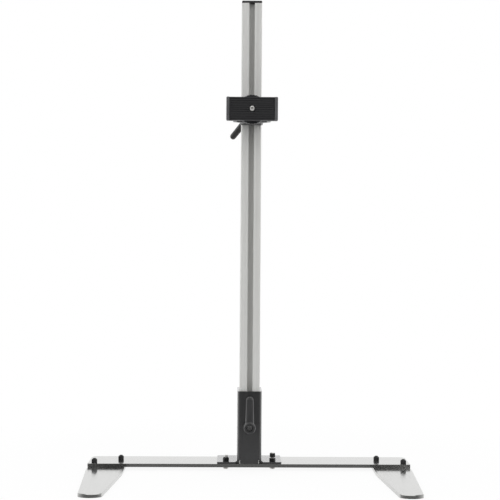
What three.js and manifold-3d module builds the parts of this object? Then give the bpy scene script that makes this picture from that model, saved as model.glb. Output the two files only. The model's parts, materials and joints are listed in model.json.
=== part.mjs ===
import * as THREE from 'three';
import { mergeVertices } from 'three/addons/utils/BufferGeometryUtils.js';
import Module from 'manifold-3d';

// Copy stand: a flat base with two feet, an upright slotted column held in a bent bracket by
// a clamping lever, and a carriage that slides on the column and carries a camera plate.
// All lengths are millimetres. X runs across, Y from front to back, Z up from the table.
// While it is built, Y is zero at the front face of the crossbar.

// Crossbar and feet
const barLength = 480;
const barDepth = 60;
const barThickness = 5;
const barCornerRadius = 9;
const footThickness = 5;
const footWidth = 55;
const footReach = 179;
const footTipWidth = 32.5;
const footOuterTaper = 10;
const footOuterShoulder = 20;
const footInnerShoulder = 36;
const footTipBulge = 12;
const footTipArcRadius = 22;
const footTipCornerRadius = 4;
const outerBoltInset = 9.5;
const outerBoltSetback = 7;
const innerBoltInset = 8.4;
const innerBoltSetback = 33;

// Bolts, nuts and washers
const boltRadius = 2.5;
const boltHoleGap = 0.3;
const boltEndChamfer = 0.5;
const sinkHeadRadius = 4.9;
const sinkHeadHeight = 2.6;
const footBoltLength = 17;
const buttonHeadRadius = 4.75;
const buttonHeadHeight = 2.75;
const buttonCrownRadius = 3.1;
const buttonRimHeight = 0.9;
const leftBracketBoltLength = 18;
const rightBracketBoltLength = 21.6;
const socketRadius = 1.7;
const socketDepth = 1.4;
const washerRadius = 5;
const washerThickness = 1;
const nutAcrossFlats = 8;
const nutHexHeight = 4.7;
const nutCollarHeight = 1.1;
const nutCollarRadius = 3.9;
const nutCrownDrop = 0.5;
const nutChamfer = 0.5;
const spareNutLift = 1.5;

// Column bracket
const bracketWall = 3;
const bracketHeight = 108;
const bracketDepth = 55;
const bracketSpan = 96;
const bracketBendRadius = 2;
const bracketReliefHeight = 6;
const bracketReliefWidth = 4.6;
const flangeCornerRadius = 2;
const bracketBoltInset = 13.25;
const bracketBoltSetback = 9;
const baseLeverRise = 57;
const columnGap = 0.2;

// Column, its top cap and the nut in its front slot
const columnWidth = 30;
const columnDepth = 60;
const columnLength = 686.5;
const columnCornerRadius = 2;
const slotOpening = 8.2;
const slotLip = 2.2;
const slotCavity = 16.5;
const slotFlank = 3;
const slotFloor = 9;
const slotDepth = 9;
const slotPitch = 30;
const coreBoreRadius = 3.4;
const chamberWall = 2.6;
const chamberDepth = 8.6;
const capThickness = 3.5;
const capChamfer = 0.6;
const capPlugLength = 10;
const capPlugGap = 0.25;
const slotNutLength = 16;
const slotNutThickness = 3.8;
const slotNutChamfer = 2.6;
const slotNutGap = 0.3;
const studEndGap = 0.7;

// Clamping levers: heights stand above the face that each lever clamps
const leverHubHeight = 25;
const leverFootRadius = 7.4;
const leverFootHeight = 8;
const leverFootGap = 0.8;
const leverRimChamfer = 1;
const leverWellRadius = 5;
const leverPlainBoreRadius = 5.9;
const leverWebThickness = 2;
const leverArmLow = 9;
const leverArmHigh = 23.4;
const leverTipLow = 17;
const leverTipHigh = 25;
const toothStart = 7;
const toothEnd = 11;
const toothCount = 20;
const toothRootRadius = 4.5;
const toothTipRadius = 5.2;
const toothGap = 0.25;
const insertSeatGap = 0.3;
const insertFlangeRadius = 5.4;
const studRadius = 3;
const studGap = 0.3;
const screwShankRadius = 2;
const screwShankGap = 0.3;
const screwReach = 3.5;
const screwHeadRadius = 4.2;
const screwHeadHeight = 2.4;
const screwHeadChamfer = 0.4;
const screwSocketRadius = 1.5;
const springSpace = 7.5;
const springRadius = 3.2;
const springWireRadius = 0.35;
const springTurns = 4;
const springSeatGap = 0.3;
const baseLeverSizes = { hubRadius: 8.8, armLength: 46, tipWidth: 11.6, rootWidth: 13.6 };
const carriageLeverSizes = { hubRadius: 8, armLength: 48, tipWidth: 9.6, rootWidth: 11 };
const carriageLeverAngle = 51;

// Carriage, its glide liners and its clamp shoe
const screwAxisHeight = 531;
const linerThickness = 1.5;
const linerGap = 0.2;
const linerInset = 1;
const sideLinerDepth = 52;
const frontLinerWidth = 26;
const keyGap = 0.3;
const keyDepth = 1.6;
const ringHeight = 17;
const ringRise = 9.5;
const ringSideWall = 4.5;
const ringFrontWall = 6.5;
const ringRearWall = 10;
const ringCornerRadius = 6;
const ringBoreRadius = 1;
const shoeThickness = 5;
const shoeWidth = 22;
const shoeHeight = 14;
const shoeGap = 0.3;
const shoeTravel = 1.2;
const shoePocketDepth = 1.5;
const neckWidth = 33;
const neckLength = 21;

// Camera platform, its pad and its screws
const plateWidth = 74.1;
const plateHeight = 34;
const plateThickness = 5.5;
const plateCornerRadius = 1.4;
const lipWidth = 4.3;
const lipProud = 2.5;
const padGroove = 0.85;
const padBase = 1.2;
const padRibHeight = 1.4;
const padRibCount = 11;
const padEdgeInset = 0.3;
const padHoleRadius = 4.4;
const windowDepth = 15;
const windowWidth = 44;
const windowCornerRadius = 2;
const webThickness = 5;
const webFilletRadius = 3;
const platformRearWall = 11;
const platformRearStraight = 2;
const platformScrewSpacing = 22;
const platformScrewRadius = 2;
const platformScrewGap = 0.3;
const platformScrewGrip = 12;
const platformHeadRadius = 3.5;
const platformHeadHeight = 4;

// Camera screw and its thumb wheel
const cameraScrewRadius = 3.175;
const cameraScrewProud = 5.5;
const cameraScrewTipChamfer = 0.8;
const cameraScrewDimple = 1.1;
const cameraScrewGap = 0.35;
const cameraScrewTail = 6;
const wheelRadius = 21.2;
const wheelSideGap = 0.5;
const wheelChamfer = 0.8;
const wheelNotchCount = 30;
const wheelNotchDepth = 0.7;

// How finely round forms are faceted, and lengths for clean cuts and for welding corners
const roundSides = 32;
const smallSides = 24;
const hexSides = 6;
const arcSteps = 4;
const springStepsPerTurn = 12;
const springWireSteps = 3;
const cutOverrun = 1;
const weldDistance = 1e-3;

// Places worked out from the sizes above
const barTop = footThickness + barThickness;
const flangeTop = barTop + bracketWall;
const columnFrontY = bracketWall + columnGap;
const columnMiddleY = columnFrontY + columnDepth / 2;
const columnRearY = columnFrontY + columnDepth;
const bracketInsideX = columnWidth / 2 + columnGap;
const bracketOutsideX = bracketInsideX + bracketWall;
const ringInsideX = columnWidth / 2 + linerGap + linerThickness;
const ringOutsideX = ringInsideX + ringSideWall;
const ringFrontY = columnFrontY - linerGap - linerThickness;
const ringRearY = columnRearY + shoeGap + shoeThickness + shoeTravel;
const ringLow = ringRise - ringHeight / 2;
const ringHigh = ringRise + ringHeight / 2;
const neckFrontY = ringFrontY - ringFrontWall - neckLength;
const windowRearY = neckFrontY - platformRearWall;
const windowFrontY = windowRearY - windowDepth;
const plateFrontY = windowFrontY - plateThickness;
const lipFrontY = plateFrontY - lipProud;
const padFrontY = plateFrontY - padBase - padRibHeight;
const leverWebLow = toothEnd + toothGap;
const leverWebHigh = leverWebLow + leverWebThickness;
const screwHeadSeat = leverWebHigh + springSpace;
const baseStudLength = columnFrontY + slotDepth - studEndGap;
const carriageStudLength = ringRearWall + shoeTravel + shoePocketDepth - studGap;

const looks = {
  satinPlate: { color: 0xcfcfcb, roughness: 0.35, metalness: 0.9 },
  anodised: { color: 0xbfbfbb, roughness: 0.4, metalness: 0.85 },
  blackSheet: { color: 0x2c2c2d, roughness: 0.6, metalness: 0.2 },
  blackCast: { color: 0x222224, roughness: 0.7, metalness: 0.2 },
  blackPlate: { color: 0x303034, roughness: 0.45, metalness: 0.5 },
  blackPlastic: { color: 0x1a1a1b, roughness: 0.55, metalness: 0 },
  blackFastener: { color: 0x151516, roughness: 0.5, metalness: 0.4 },
  rubber: { color: 0x202021, roughness: 0.9, metalness: 0 },
  steel: { color: 0xc4c3c0, roughness: 0.25, metalness: 1 },
};

const wasm = await Module();
wasm.setup();

// Turns a closed geometry into a solid that can be joined and cut.
function toSolid(geometry) {
  const bare = new THREE.BufferGeometry();
  bare.setAttribute('position', geometry.getAttribute('position'));
  bare.setIndex(geometry.index);
  const welded = mergeVertices(bare, weldDistance);
  const corners = [];
  for (let i = 0; i < welded.index.count; i += 3) {
    const [a, b, c] = [0, 1, 2].map((k) => welded.index.getX(i + k));
    if (a !== b && b !== c && c !== a) corners.push(a, b, c);
  }
  return new wasm.Manifold(new wasm.Mesh({
    numProp: 3,
    vertProperties: new Float32Array(welded.getAttribute('position').array),
    triVerts: new Uint32Array(corners),
  }));
}

// Turns a solid back into a geometry for a mesh.
function toGeometry(solid) {
  const { vertProperties, triVerts } = solid.getMesh();
  const geometry = new THREE.BufferGeometry();
  geometry.setAttribute('position', new THREE.BufferAttribute(vertProperties, 3));
  geometry.setIndex(new THREE.BufferAttribute(triVerts, 1));
  geometry.computeVertexNormals();
  return geometry;
}

// One named piece at its place, in the look that the real piece has.
function piece(name, solid, look, place = [0, 0, 0]) {
  const mesh = new THREE.Mesh(toGeometry(solid), new THREE.MeshStandardMaterial(look));
  mesh.name = name;
  mesh.position.set(...place);
  return mesh;
}

// An outline in X and Y raised along Z, from the height given.
function raise(shape, height, from = 0) {
  const options = { depth: height, bevelEnabled: false, curveSegments: arcSteps };
  const geometry = new THREE.ExtrudeGeometry(shape, options);
  return toSolid(geometry.translate(0, 0, from));
}

// The same with chamfered edges at top and bottom.
function raiseChamfered(shape, height, chamfer, from = 0) {
  const options = {
    depth: height - 2 * chamfer,
    bevelThickness: chamfer,
    bevelSize: chamfer,
    bevelOffset: -chamfer,
    bevelSegments: 1,
    curveSegments: arcSteps,
  };
  const geometry = new THREE.ExtrudeGeometry(shape, options);
  return toSolid(geometry.translate(0, 0, from + chamfer));
}

// An outline in X and Z given length along Y, from the place given.
function raiseAlongY(shape, length, from) {
  const options = { depth: length, bevelEnabled: false, curveSegments: arcSteps };
  const geometry = new THREE.ExtrudeGeometry(shape, options);
  geometry.rotateX(Math.PI / 2);
  return toSolid(geometry.translate(0, from + length, 0));
}

// An outline in Y and Z given length along X, centred on X zero.
function raiseAlongX(shape, length) {
  const options = { depth: length, bevelEnabled: false, curveSegments: arcSteps };
  const geometry = new THREE.ExtrudeGeometry(shape, options);
  geometry.translate(0, 0, -length / 2);
  geometry.rotateX(Math.PI / 2);
  return toSolid(geometry.rotateZ(Math.PI / 2));
}

// A profile of radius and height turned round Z. It starts and ends on the axis, or closes.
function turn(profile, sides = smallSides) {
  const points = profile.map(([radius, height]) => new THREE.Vector2(radius, height));
  const geometry = new THREE.LatheGeometry(points, sides);
  return toSolid(geometry.rotateX(Math.PI / 2));
}

// A plain round rod along Z.
function rod(radius, from, to, sides = smallSides) {
  return turn([[0, from], [radius, from], [radius, to], [0, to]], sides);
}

// A plain round rod along Y, on the axis at the given X and Z.
function rodAlongY(radius, from, to, x, z) {
  const geometry = new THREE.CylinderGeometry(radius, radius, to - from, smallSides);
  return toSolid(geometry.translate(x, (from + to) / 2, z));
}

// A box between its lowest and highest corners.
function block(low, high) {
  const size = high.map((value, axis) => value - low[axis]);
  const middle = high.map((value, axis) => (value + low[axis]) / 2);
  return toSolid(new THREE.BoxGeometry(...size).translate(...middle));
}

// An outline through the corners given, each sharp or rounded to its own radius.
function outline(corners) {
  const shape = new THREE.Shape();
  corners.forEach(([x, y, radius = 0], i) => {
    const here = new THREE.Vector2(x, y);
    const before = corners[(i + corners.length - 1) % corners.length];
    const after = corners[(i + 1) % corners.length];
    const back = new THREE.Vector2(before[0], before[1]).sub(here).normalize();
    const on = new THREE.Vector2(after[0], after[1]).sub(here).normalize();
    const reach = radius / Math.tan(Math.acos(back.dot(on)) / 2);
    const start = here.clone().addScaledVector(back, reach);
    const end = here.clone().addScaledVector(on, reach);
    if (i === 0) shape.moveTo(start.x, start.y);
    else shape.lineTo(start.x, start.y);
    if (radius === 0) return;
    const middle = back.clone().add(on).setLength(Math.hypot(radius, reach)).add(here);
    const first = Math.atan2(start.y - middle.y, start.x - middle.x);
    const last = Math.atan2(end.y - middle.y, end.x - middle.x);
    const turnsRight = back.cross(on) > 0;
    shape.absarc(middle.x, middle.y, radius, first, last, turnsRight);
  });
  shape.closePath();
  return shape;
}

// A rectangle about the origin with rounded corners.
function roundedRectangle(width, height, radius) {
  const x = width / 2;
  const y = height / 2;
  return outline([[-x, -y, radius], [x, -y, radius], [x, y, radius], [-x, y, radius]]);
}

// A round outline that steps between two radii, for teeth and for grip notches.
function toothedOutline(count, rootRadius, tipRadius) {
  const flatShare = 0.3;
  const flankShare = 0.5 - flatShare;
  const stops = [
    [rootRadius, 0],
    [rootRadius, flatShare],
    [tipRadius, flatShare + flankShare],
    [tipRadius, flatShare + flankShare + flatShare],
  ];
  const corners = [];
  for (let tooth = 0; tooth < count; tooth += 1) {
    stops.forEach(([radius, share]) => {
      const angle = ((tooth + share) / count) * 2 * Math.PI;
      corners.push([radius * Math.cos(angle), radius * Math.sin(angle)]);
    });
  }
  return outline(corners);
}

// A skin over rings of points, closed by a fan at each end.
function loft(rings) {
  const points = rings.flat(2);
  const corners = [];
  const count = rings[0].length;
  const last = rings.length - 1;
  const next = (i) => (i + 1) % count;
  for (let r = 0; r < last; r += 1) {
    for (let i = 0; i < count; i += 1) {
      const [a, b] = [r * count + i, r * count + next(i)];
      corners.push(a, b, b + count, a, b + count, a + count);
    }
  }
  [0, last].forEach((r) => {
    const sum = rings[r].reduce((total, point) => total.map((value, axis) => value + point[axis]));
    const centre = points.length / 3;
    points.push(...sum.map((value) => value / count));
    for (let i = 0; i < count; i += 1) {
      const [a, b] = [r * count + i, r * count + next(i)];
      if (r === 0) corners.push(centre, b, a);
      else corners.push(centre, a, b);
    }
  });
  const geometry = new THREE.BufferGeometry();
  geometry.setAttribute('position', new THREE.Float32BufferAttribute(points, 3));
  geometry.setIndex(corners);
  return toSolid(geometry);
}

// Where the two bolts of a foot stand, on the side given by its sign.
function footBoltPlaces(side) {
  const outerX = barLength / 2 - outerBoltInset;
  const innerX = barLength / 2 - footWidth + innerBoltInset;
  return {
    outer: [side * outerX, outerBoltSetback],
    inner: [side * innerX, innerBoltSetback],
  };
}

// Where the bolt of a bracket flange stands.
function bracketBoltPlace(side) {
  return [side * (bracketSpan / 2 - bracketBoltInset), bracketBoltSetback];
}

// The crossbar: a flat bar with rounded rear corners and clearance holes.
function makeCrossbar() {
  const x = barLength / 2;
  const shape = outline([
    [-x, 0],
    [x, 0],
    [x, barDepth, barCornerRadius],
    [-x, barDepth, barCornerRadius],
  ]);
  const places = [-1, 1].flatMap((side) => [
    ...Object.values(footBoltPlaces(side)),
    bracketBoltPlace(side),
  ]);
  const bar = places.reduce((solid, [boltX, boltY]) => {
    const hole = rod(boltRadius + boltHoleGap, -cutOverrun, barThickness + cutOverrun);
    return solid.subtract(hole.translate([boltX, boltY, 0]));
  }, raise(shape, barThickness));
  return piece('crossbar', bar, looks.satinPlate, [0, 0, footThickness]);
}

// One foot: a tapering plate with a bowed front end and countersunk bolt holes.
function makeFoot(name, side) {
  const outerX = side * (barLength / 2);
  const innerX = side * (barLength / 2 - footWidth);
  const tipOuterX = outerX - side * footOuterTaper;
  const tipInnerX = tipOuterX - side * footTipWidth;
  const shape = outline([
    [innerX, barDepth],
    [innerX, -footInnerShoulder],
    [tipInnerX, -footReach, footTipCornerRadius],
    [(tipOuterX + tipInnerX) / 2, -footReach - footTipBulge, footTipArcRadius],
    [tipOuterX, -footReach, footTipCornerRadius],
    [outerX, -footOuterShoulder],
    [outerX, barDepth, barCornerRadius],
  ]);
  const holeRadius = boltRadius + boltHoleGap;
  const sinkRadius = sinkHeadRadius + boltHoleGap;
  const sink = turn([
    [0, -cutOverrun],
    [sinkRadius, -cutOverrun],
    [sinkRadius, 0],
    [holeRadius, sinkHeadHeight],
    [holeRadius, footThickness + cutOverrun],
    [0, footThickness + cutOverrun],
  ]);
  const foot = Object.values(footBoltPlaces(side)).reduce(
    (solid, [boltX, boltY]) => solid.subtract(sink.translate([boltX, boltY, 0])),
    raise(shape, footThickness),
  );
  return piece(name, foot, looks.satinPlate);
}

// The hexagon socket in the underside of a bolt head.
function socketBelow(low) {
  return rod(socketRadius, low - cutOverrun, low + socketDepth, hexSides);
}

// A countersunk bolt that comes up through a foot and the bar.
function makeFootBolt(name, place) {
  const bolt = turn([
    [0, 0],
    [sinkHeadRadius, 0],
    [boltRadius, sinkHeadHeight],
    [boltRadius, footBoltLength - boltEndChamfer],
    [boltRadius - boltEndChamfer, footBoltLength],
    [0, footBoltLength],
  ]);
  return piece(name, bolt.subtract(socketBelow(0)), looks.blackFastener, [...place, 0]);
}

// A nut: a chamfered hexagon, with a crown over its locking ring where it has one.
function makeNut(name, place, collarHeight, cornerForward) {
  const cornerRadius = nutAcrossFlats / Math.sqrt(3);
  const height = nutHexHeight + collarHeight;
  const collar = [
    [nutCollarRadius, nutHexHeight],
    [nutCollarRadius, height - nutCrownDrop],
    [nutCollarRadius - nutCrownDrop, height],
  ];
  const hexagon = rod(cornerRadius, 0, height, hexSides);
  const blank = turn([
    [0, 0],
    [cornerRadius - nutChamfer, 0],
    [cornerRadius, nutChamfer],
    [cornerRadius, nutHexHeight - nutChamfer],
    ...(collarHeight > 0 ? collar : [[cornerRadius - nutChamfer, height]]),
    [0, height],
  ]);
  const bore = rod(boltRadius + boltHoleGap, -cutOverrun, height + cutOverrun);
  const nut = piece(name, hexagon.intersect(blank).subtract(bore), looks.blackFastener, place);
  nut.rotation.z = cornerForward ? 0 : Math.PI / hexSides;
  return nut;
}

// A button-head bolt that comes up from under the bar, with its washer under the head.
function makeBracketBolt(name, place, length) {
  const headTop = footThickness - washerThickness;
  const headLow = headTop - buttonHeadHeight;
  const bolt = turn([
    [0, headLow],
    [buttonCrownRadius, headLow],
    [buttonHeadRadius, headTop - buttonRimHeight],
    [buttonHeadRadius, headTop],
    [boltRadius, headTop],
    [boltRadius, headTop + length - boltEndChamfer],
    [boltRadius - boltEndChamfer, headTop + length],
    [0, headTop + length],
  ]);
  return piece(name, bolt.subtract(socketBelow(headLow)), looks.steel, [...place, 0]);
}

// The washer between that bolt's head and the bar.
function makeWasher(name, place) {
  const bore = boltRadius + boltHoleGap;
  const washer = turn([
    [bore, 0],
    [washerRadius, 0],
    [washerRadius, washerThickness],
    [bore, washerThickness],
    [bore, 0],
  ]);
  const low = footThickness - washerThickness;
  return piece(name, washer, looks.steel, [...place, low]);
}

// The bracket: one sheet wrapped round the column, with its sides turned out into flanges.
// Where the upright bends meet the flange bends, a relief is cut at the bottom front corners,
// and in front of it only the flat parts of the flanges reach the front edge.
function makeColumnBracket() {
  const outerBend = bracketBendRadius + bracketWall;
  const wrap = outline([
    [-bracketOutsideX, 0, outerBend],
    [bracketOutsideX, 0, outerBend],
    [bracketOutsideX, bracketDepth],
    [bracketInsideX, bracketDepth],
    [bracketInsideX, bracketWall, bracketBendRadius],
    [-bracketInsideX, bracketWall, bracketBendRadius],
    [-bracketInsideX, bracketDepth],
    [-bracketOutsideX, bracketDepth],
  ]);
  const tongueX = bracketOutsideX - bracketReliefWidth;
  const reliefTop = barTop + bracketReliefHeight;
  let bracket = raise(wrap, bracketHeight - bracketReliefHeight, reliefTop);
  bracket = bracket.add(block([-tongueX, 0, barTop], [tongueX, bracketWall, reliefTop + cutOverrun]));
  [-1, 1].forEach((side) => {
    const flange = outline([
      [side * bracketInsideX, reliefTop + cutOverrun],
      [side * bracketOutsideX, reliefTop + cutOverrun],
      [side * bracketOutsideX, flangeTop, bracketBendRadius],
      [side * (bracketSpan / 2), flangeTop],
      [side * (bracketSpan / 2), barTop],
      [side * bracketInsideX, barTop, outerBend],
    ]);
    const flatX = side * (bracketOutsideX + bracketBendRadius);
    const endX = side * (bracketSpan / 2);
    const front = block(
      [Math.min(flatX, endX), 0, barTop],
      [Math.max(flatX, endX), bracketDepth / 2, flangeTop],
    );
    const [boltX, boltY] = bracketBoltPlace(side);
    const hole = rod(boltRadius + boltHoleGap, barTop - cutOverrun, flangeTop + cutOverrun);
    bracket = bracket.add(raiseAlongY(flange, bracketDepth - outerBend, outerBend)).add(front);
    bracket = bracket.subtract(hole.translate([boltX, boltY, 0]));
  });
  const plan = outline([
    [-bracketSpan / 2, 0, flangeCornerRadius],
    [bracketSpan / 2, 0, flangeCornerRadius],
    [bracketSpan / 2, bracketDepth, flangeCornerRadius],
    [-bracketSpan / 2, bracketDepth, flangeCornerRadius],
  ]);
  const leverHeight = barTop + baseLeverRise;
  const studHole = rodAlongY(studRadius + studGap, -cutOverrun, columnFrontY, 0, leverHeight);
  bracket = bracket.intersect(raise(plan, bracketHeight, barTop)).subtract(studHole);
  return piece('column_bracket', bracket, looks.blackSheet);
}

// The corners of one T-slot, in order along a side of the column, from a point on the side.
function slotCorners(middle, along, inward) {
  const opening = slotOpening / 2;
  const cavity = slotCavity / 2;
  const floor = slotFloor / 2;
  const profile = [
    [-opening, 0],
    [-opening, slotLip],
    [-cavity, slotLip],
    [-cavity, slotLip + slotFlank],
    [-floor, slotDepth],
    [floor, slotDepth],
    [cavity, slotLip + slotFlank],
    [cavity, slotLip],
    [opening, slotLip],
    [opening, 0],
  ];
  return profile.map(([across, deep]) => [
    middle[0] + across * along[0] + deep * inward[0],
    middle[1] + across * along[1] + deep * inward[1],
  ]);
}

// The column: an extrusion with one slot on each narrow side and two on each wide side,
// two core bores and a hollow chamber between them.
function makeColumn() {
  const x = columnWidth / 2;
  const y = columnDepth / 2;
  const slotY = slotPitch / 2;
  const section = outline([
    [-x, -y, columnCornerRadius],
    ...slotCorners([0, -y], [1, 0], [0, 1]),
    [x, -y, columnCornerRadius],
    ...slotCorners([x, -slotY], [0, 1], [-1, 0]),
    ...slotCorners([x, slotY], [0, 1], [-1, 0]),
    [x, y, columnCornerRadius],
    ...slotCorners([0, y], [-1, 0], [0, -1]),
    [-x, y, columnCornerRadius],
    ...slotCorners([-x, slotY], [0, -1], [1, 0]),
    ...slotCorners([-x, -slotY], [0, -1], [1, 0]),
  ]);
  let column = raise(section, columnLength);
  [-slotY, slotY].forEach((boreY) => {
    const bore = rod(coreBoreRadius, -cutOverrun, columnLength + cutOverrun);
    column = column.subtract(bore.translate([0, boreY, 0]));
  });
  const chamberX = x - chamberWall;
  column = column.subtract(block(
    [-chamberX, -chamberDepth / 2, -cutOverrun],
    [chamberX, chamberDepth / 2, columnLength + cutOverrun],
  ));
  return piece('column', column, looks.anodised);
}

// The cap on the column's top: a plate with two plugs that push into the core bores.
function makeTopCap() {
  const plate = roundedRectangle(columnWidth, columnDepth, columnCornerRadius);
  const plug = rod(coreBoreRadius - capPlugGap, -capPlugLength, capThickness / 2);
  const cap = [-slotPitch / 2, slotPitch / 2].reduce(
    (solid, plugY) => solid.add(plug.translate([0, plugY, 0])),
    raiseChamfered(plate, capThickness, capChamfer),
  );
  return piece('column_top_cap', cap, looks.blackPlastic, [0, 0, columnLength]);
}

// The T-nut that the base lever draws against the lips of the column's front slot.
function makeSlotNut() {
  const neckX = slotOpening / 2 - slotNutGap;
  const bodyX = slotCavity / 2 - slotNutGap;
  const shoulderY = columnFrontY + slotLip + slotNutGap;
  const backY = shoulderY + slotNutThickness;
  const section = outline([
    [-neckX, columnFrontY + slotNutGap],
    [neckX, columnFrontY + slotNutGap],
    [neckX, shoulderY],
    [bodyX, shoulderY],
    [bodyX, backY - slotNutChamfer],
    [bodyX - slotNutChamfer, backY],
    [slotNutChamfer - bodyX, backY],
    [-bodyX, backY - slotNutChamfer],
    [-bodyX, shoulderY],
    [-neckX, shoulderY],
  ]);
  const bore = rodAlongY(studRadius + studGap, columnFrontY - cutOverrun, backY + cutOverrun, 0, 0);
  const nut = raise(section, slotNutLength, -slotNutLength / 2).subtract(bore);
  return piece('base_slot_nut', nut, looks.steel, [0, 0, barTop + baseLeverRise]);
}

// A rounded section of a lever's arm, at a distance along it.
function armSection(along, halfWidth, low, high) {
  const sides = 16;
  const roundingShares = [0.5, 0.65];
  const middle = (low + high) / 2;
  const halfHeight = (high - low) / 2;
  const eased = (value, share) => Math.sign(value) * Math.abs(value) ** share;
  return Array.from({ length: sides }, (unused, i) => {
    const angle = ((i + 0.5) / sides) * 2 * Math.PI;
    const across = halfWidth * eased(Math.cos(angle), roundingShares[0]);
    const up = middle + halfHeight * eased(Math.sin(angle), roundingShares[1]);
    return [along, across, up];
  });
}

// The arm of a lever: it leaves the hub, narrows, lifts away and ends in a rounded tip.
function leverArm({ armLength, tipWidth, rootWidth }) {
  const tipRadius = tipWidth / 2;
  const straight = armLength - tipRadius;
  const mix = (from, to, share) => from + (to - from) * share;
  const straightShares = [0, 0.3, 0.55, 0.8, 1];
  const liftShares = [0, 0.35, 0.65, 0.9, 1];
  const tipTurnShares = [0.3, 0.55, 0.78, 0.95];
  const thinningShare = 0.35;
  const rings = straightShares.map((share, i) => armSection(
    straight * share,
    mix(rootWidth, tipWidth, share) / 2,
    mix(leverArmLow, leverTipLow, liftShares[i]),
    mix(leverArmHigh, leverTipHigh, liftShares[i]),
  ));
  tipTurnShares.forEach((share) => {
    const angle = (share * Math.PI) / 2;
    const thinning = ((1 - Math.cos(angle)) * thinningShare * (leverTipHigh - leverTipLow)) / 2;
    rings.push(armSection(
      straight + tipRadius * Math.sin(angle),
      tipRadius * Math.cos(angle),
      leverTipLow + thinning,
      leverTipHigh - thinning,
    ));
  });
  return loft(rings);
}

// The cast handle: hub and arm, with a toothed bore, a web for the spring and a screw well.
function makeLeverHandle(name, sizes) {
  const { hubRadius } = sizes;
  const hub = turn([
    [0, leverFootGap],
    [leverFootRadius, leverFootGap],
    [leverFootRadius, leverFootHeight],
    [hubRadius, leverHubHeight / 2],
    [hubRadius, leverHubHeight - leverRimChamfer],
    [hubRadius - leverRimChamfer, leverHubHeight],
    [0, leverHubHeight],
  ], roundSides);
  const teeth = toothedOutline(toothCount, toothRootRadius + toothGap, toothTipRadius + toothGap);
  const plainTop = toothStart + toothGap;
  const handle = hub
    .add(leverArm(sizes))
    .subtract(rod(leverPlainBoreRadius, 0, plainTop))
    .subtract(raise(teeth, leverWebLow - toothStart, toothStart))
    .subtract(rod(screwShankRadius + screwShankGap, toothStart, screwHeadSeat))
    .subtract(rod(leverWellRadius, leverWebHigh, leverHubHeight + cutOverrun));
  return piece(name, handle, looks.blackCast);
}

// The steel insert: a toothed head on the stud that clamps, bored for the retaining screw.
function makeLeverInsert(name, studLength) {
  const teeth = toothedOutline(toothCount, toothRootRadius, toothTipRadius);
  const bore = rod(screwShankRadius + screwShankGap, screwReach - screwShankGap, toothEnd + cutOverrun);
  const insert = rod(insertFlangeRadius, insertSeatGap, toothStart)
    .add(raise(teeth, toothEnd - screwReach, screwReach))
    .add(rod(studRadius, -studLength, screwReach))
    .subtract(bore);
  return piece(name, insert, looks.steel);
}

// The screw that holds the handle on its insert, with a hexagon socket in its head.
function makeLeverScrew(name) {
  const top = screwHeadSeat + screwHeadHeight;
  const screw = turn([
    [0, screwReach],
    [screwShankRadius, screwReach],
    [screwShankRadius, screwHeadSeat],
    [screwHeadRadius, screwHeadSeat],
    [screwHeadRadius, top - screwHeadChamfer],
    [screwHeadRadius - screwHeadChamfer, top],
    [0, top],
  ]);
  const socket = rod(screwSocketRadius, top - socketDepth, top + cutOverrun, hexSides);
  return piece(name, screw.subtract(socket), looks.blackFastener);
}

// The path of the spring's wire: a helix round the screw.
class SpringPath extends THREE.Curve {
  getPoint(share, target = new THREE.Vector3()) {
    const low = leverWebHigh + springSeatGap + springWireRadius;
    const high = screwHeadSeat - springSeatGap - springWireRadius;
    const angle = share * springTurns * 2 * Math.PI;
    return target.set(
      springRadius * Math.cos(angle),
      springRadius * Math.sin(angle),
      low + (high - low) * share,
    );
  }
}

// The spring between the handle's web and the screw's head, which keeps the teeth in mesh.
function makeLeverSpring(name) {
  const wire = new THREE.Shape().absarc(0, 0, springWireRadius, 0, 2 * Math.PI);
  const geometry = new THREE.ExtrudeGeometry(wire, {
    steps: springTurns * springStepsPerTurn,
    curveSegments: springWireSteps,
    extrudePath: new SpringPath(),
  });
  return piece(name, toSolid(geometry), looks.steel);
}

// A whole clamping lever, with its axis and its arm turned to the directions given.
function makeLever(prefix, sizes, studLength, axis, arm) {
  const lever = new THREE.Group();
  lever.add(makeLeverHandle(`${prefix}_handle`, sizes));
  lever.add(makeLeverInsert(`${prefix}_insert`, studLength));
  lever.add(makeLeverScrew(`${prefix}_screw`));
  lever.add(makeLeverSpring(`${prefix}_spring`));
  const across = new THREE.Vector3().crossVectors(axis, arm);
  lever.quaternion.setFromRotationMatrix(new THREE.Matrix4().makeBasis(arm, across, axis));
  return lever;
}

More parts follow.
